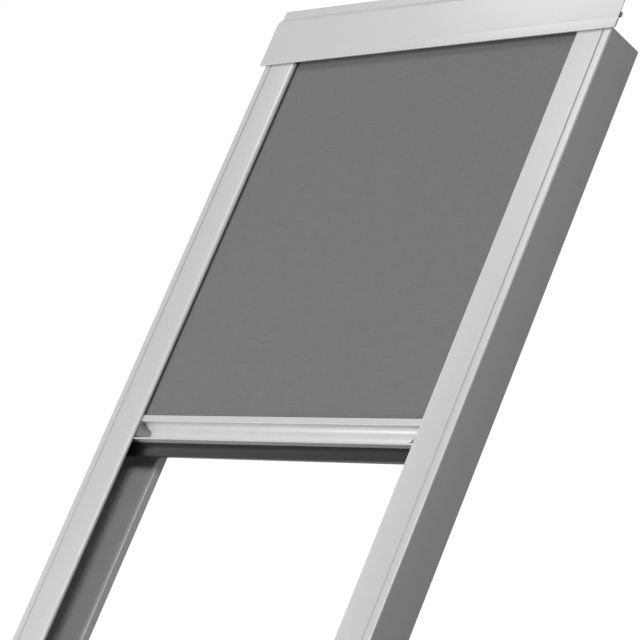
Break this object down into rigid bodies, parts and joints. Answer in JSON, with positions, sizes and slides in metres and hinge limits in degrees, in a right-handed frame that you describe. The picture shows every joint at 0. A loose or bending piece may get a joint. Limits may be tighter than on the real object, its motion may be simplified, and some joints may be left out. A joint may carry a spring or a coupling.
{
  "type": "outside roller blind for a roof window",
  "caption": "Sloping roof-window blind: screen fabric on a spring roller under a head cover, with a grip bar that slides in two deep aluminium side rails.",
  "frame": {"origin": "under the middle of the blind, on the plane of the side rails' backs, where it lies on the window frame", "axes": "+Z out of the roof towards the weather side, +Y up the slope along the rails, +X to the right seen from outside"},
  "size_m": [0.7976, 1.4, 0.0739],
  "materials": {
    "satin_aluminium": "fine satin anodised, silver grey",
    "mill_aluminium": "plain mill finish sheet, tube and brackets",
    "zinc_steel": "zinc plated",
    "grey_plastic": "fine textured moulding",
    "bearing_plastic": "smooth low-friction moulding",
    "black_rubber": "matt extruded rubber",
    "screen_fabric": "flat woven screen cloth, mid grey, with a fine cross rib"
  },
  "bodies": {
    "frame": {"counterbalance_spring": "zinc_steel", "fabric_panel": "screen_fabric", "head_carcass": "mill_aluminium", "head_cover": "satin_aluminium", "idle_bearing_bush": "bearing_plastic", "left_bracket_screw_1": "zinc_steel", "left_bracket_screw_2": "zinc_steel", "left_edge_seal": "black_rubber", "left_end_cap_screw": "zinc_steel", "left_head_bracket": "mill_aluminium", "left_rail_end_cap": "grey_plastic", "left_side_rail": "satin_aluminium", "left_stop_buffer": "black_rubber", "right_bracket_screw_1": "zinc_steel", "right_bracket_screw_2": "zinc_steel", "right_edge_seal": "black_rubber", "right_end_cap_screw": "zinc_steel", "right_head_bracket": "mill_aluminium", "right_rail_end_cap": "grey_plastic", "right_side_rail": "satin_aluminium", "right_stop_buffer": "black_rubber", "spring_anchor": "zinc_steel", "spring_shaft": "zinc_steel"},
    "roller": {"roller_tube": "mill_aluminium", "idle_end_plug": "grey_plastic", "spring_end_plug": "grey_plastic", "shaft_support_bush": "bearing_plastic", "fabric_roll": "screen_fabric"},
    "bar": {"bottom_bar": "satin_aluminium", "left_bar_end_cap": "grey_plastic", "right_bar_end_cap": "grey_plastic", "left_bar_screw": "zinc_steel", "right_bar_screw": "zinc_steel", "left_glide": "bearing_plastic", "right_glide": "bearing_plastic", "left_brake_spring": "zinc_steel", "right_brake_spring": "zinc_steel", "bottom_seal": "black_rubber", "fabric_spline": "grey_plastic"}
  },
  "joints": [
    {"name": "bottom_bar_slide", "type": "slide", "parent": "frame", "child": "bar", "axis": [0, 1, 0], "range_m": [-0.538, 0.655], "deforming": ["fabric_panel"]},
    {"name": "roller_spin", "type": "hinge", "parent": "frame", "child": "roller", "pos_m": [0, 0.6333, 0.03875], "axis": [1, 0, 0], "range_deg": [-1797, 1477]}
  ],
  "couplings": [
    {"joint": "roller_spin", "follows": "bottom_bar_slide", "rad_per_m": -47.733}
  ]
}
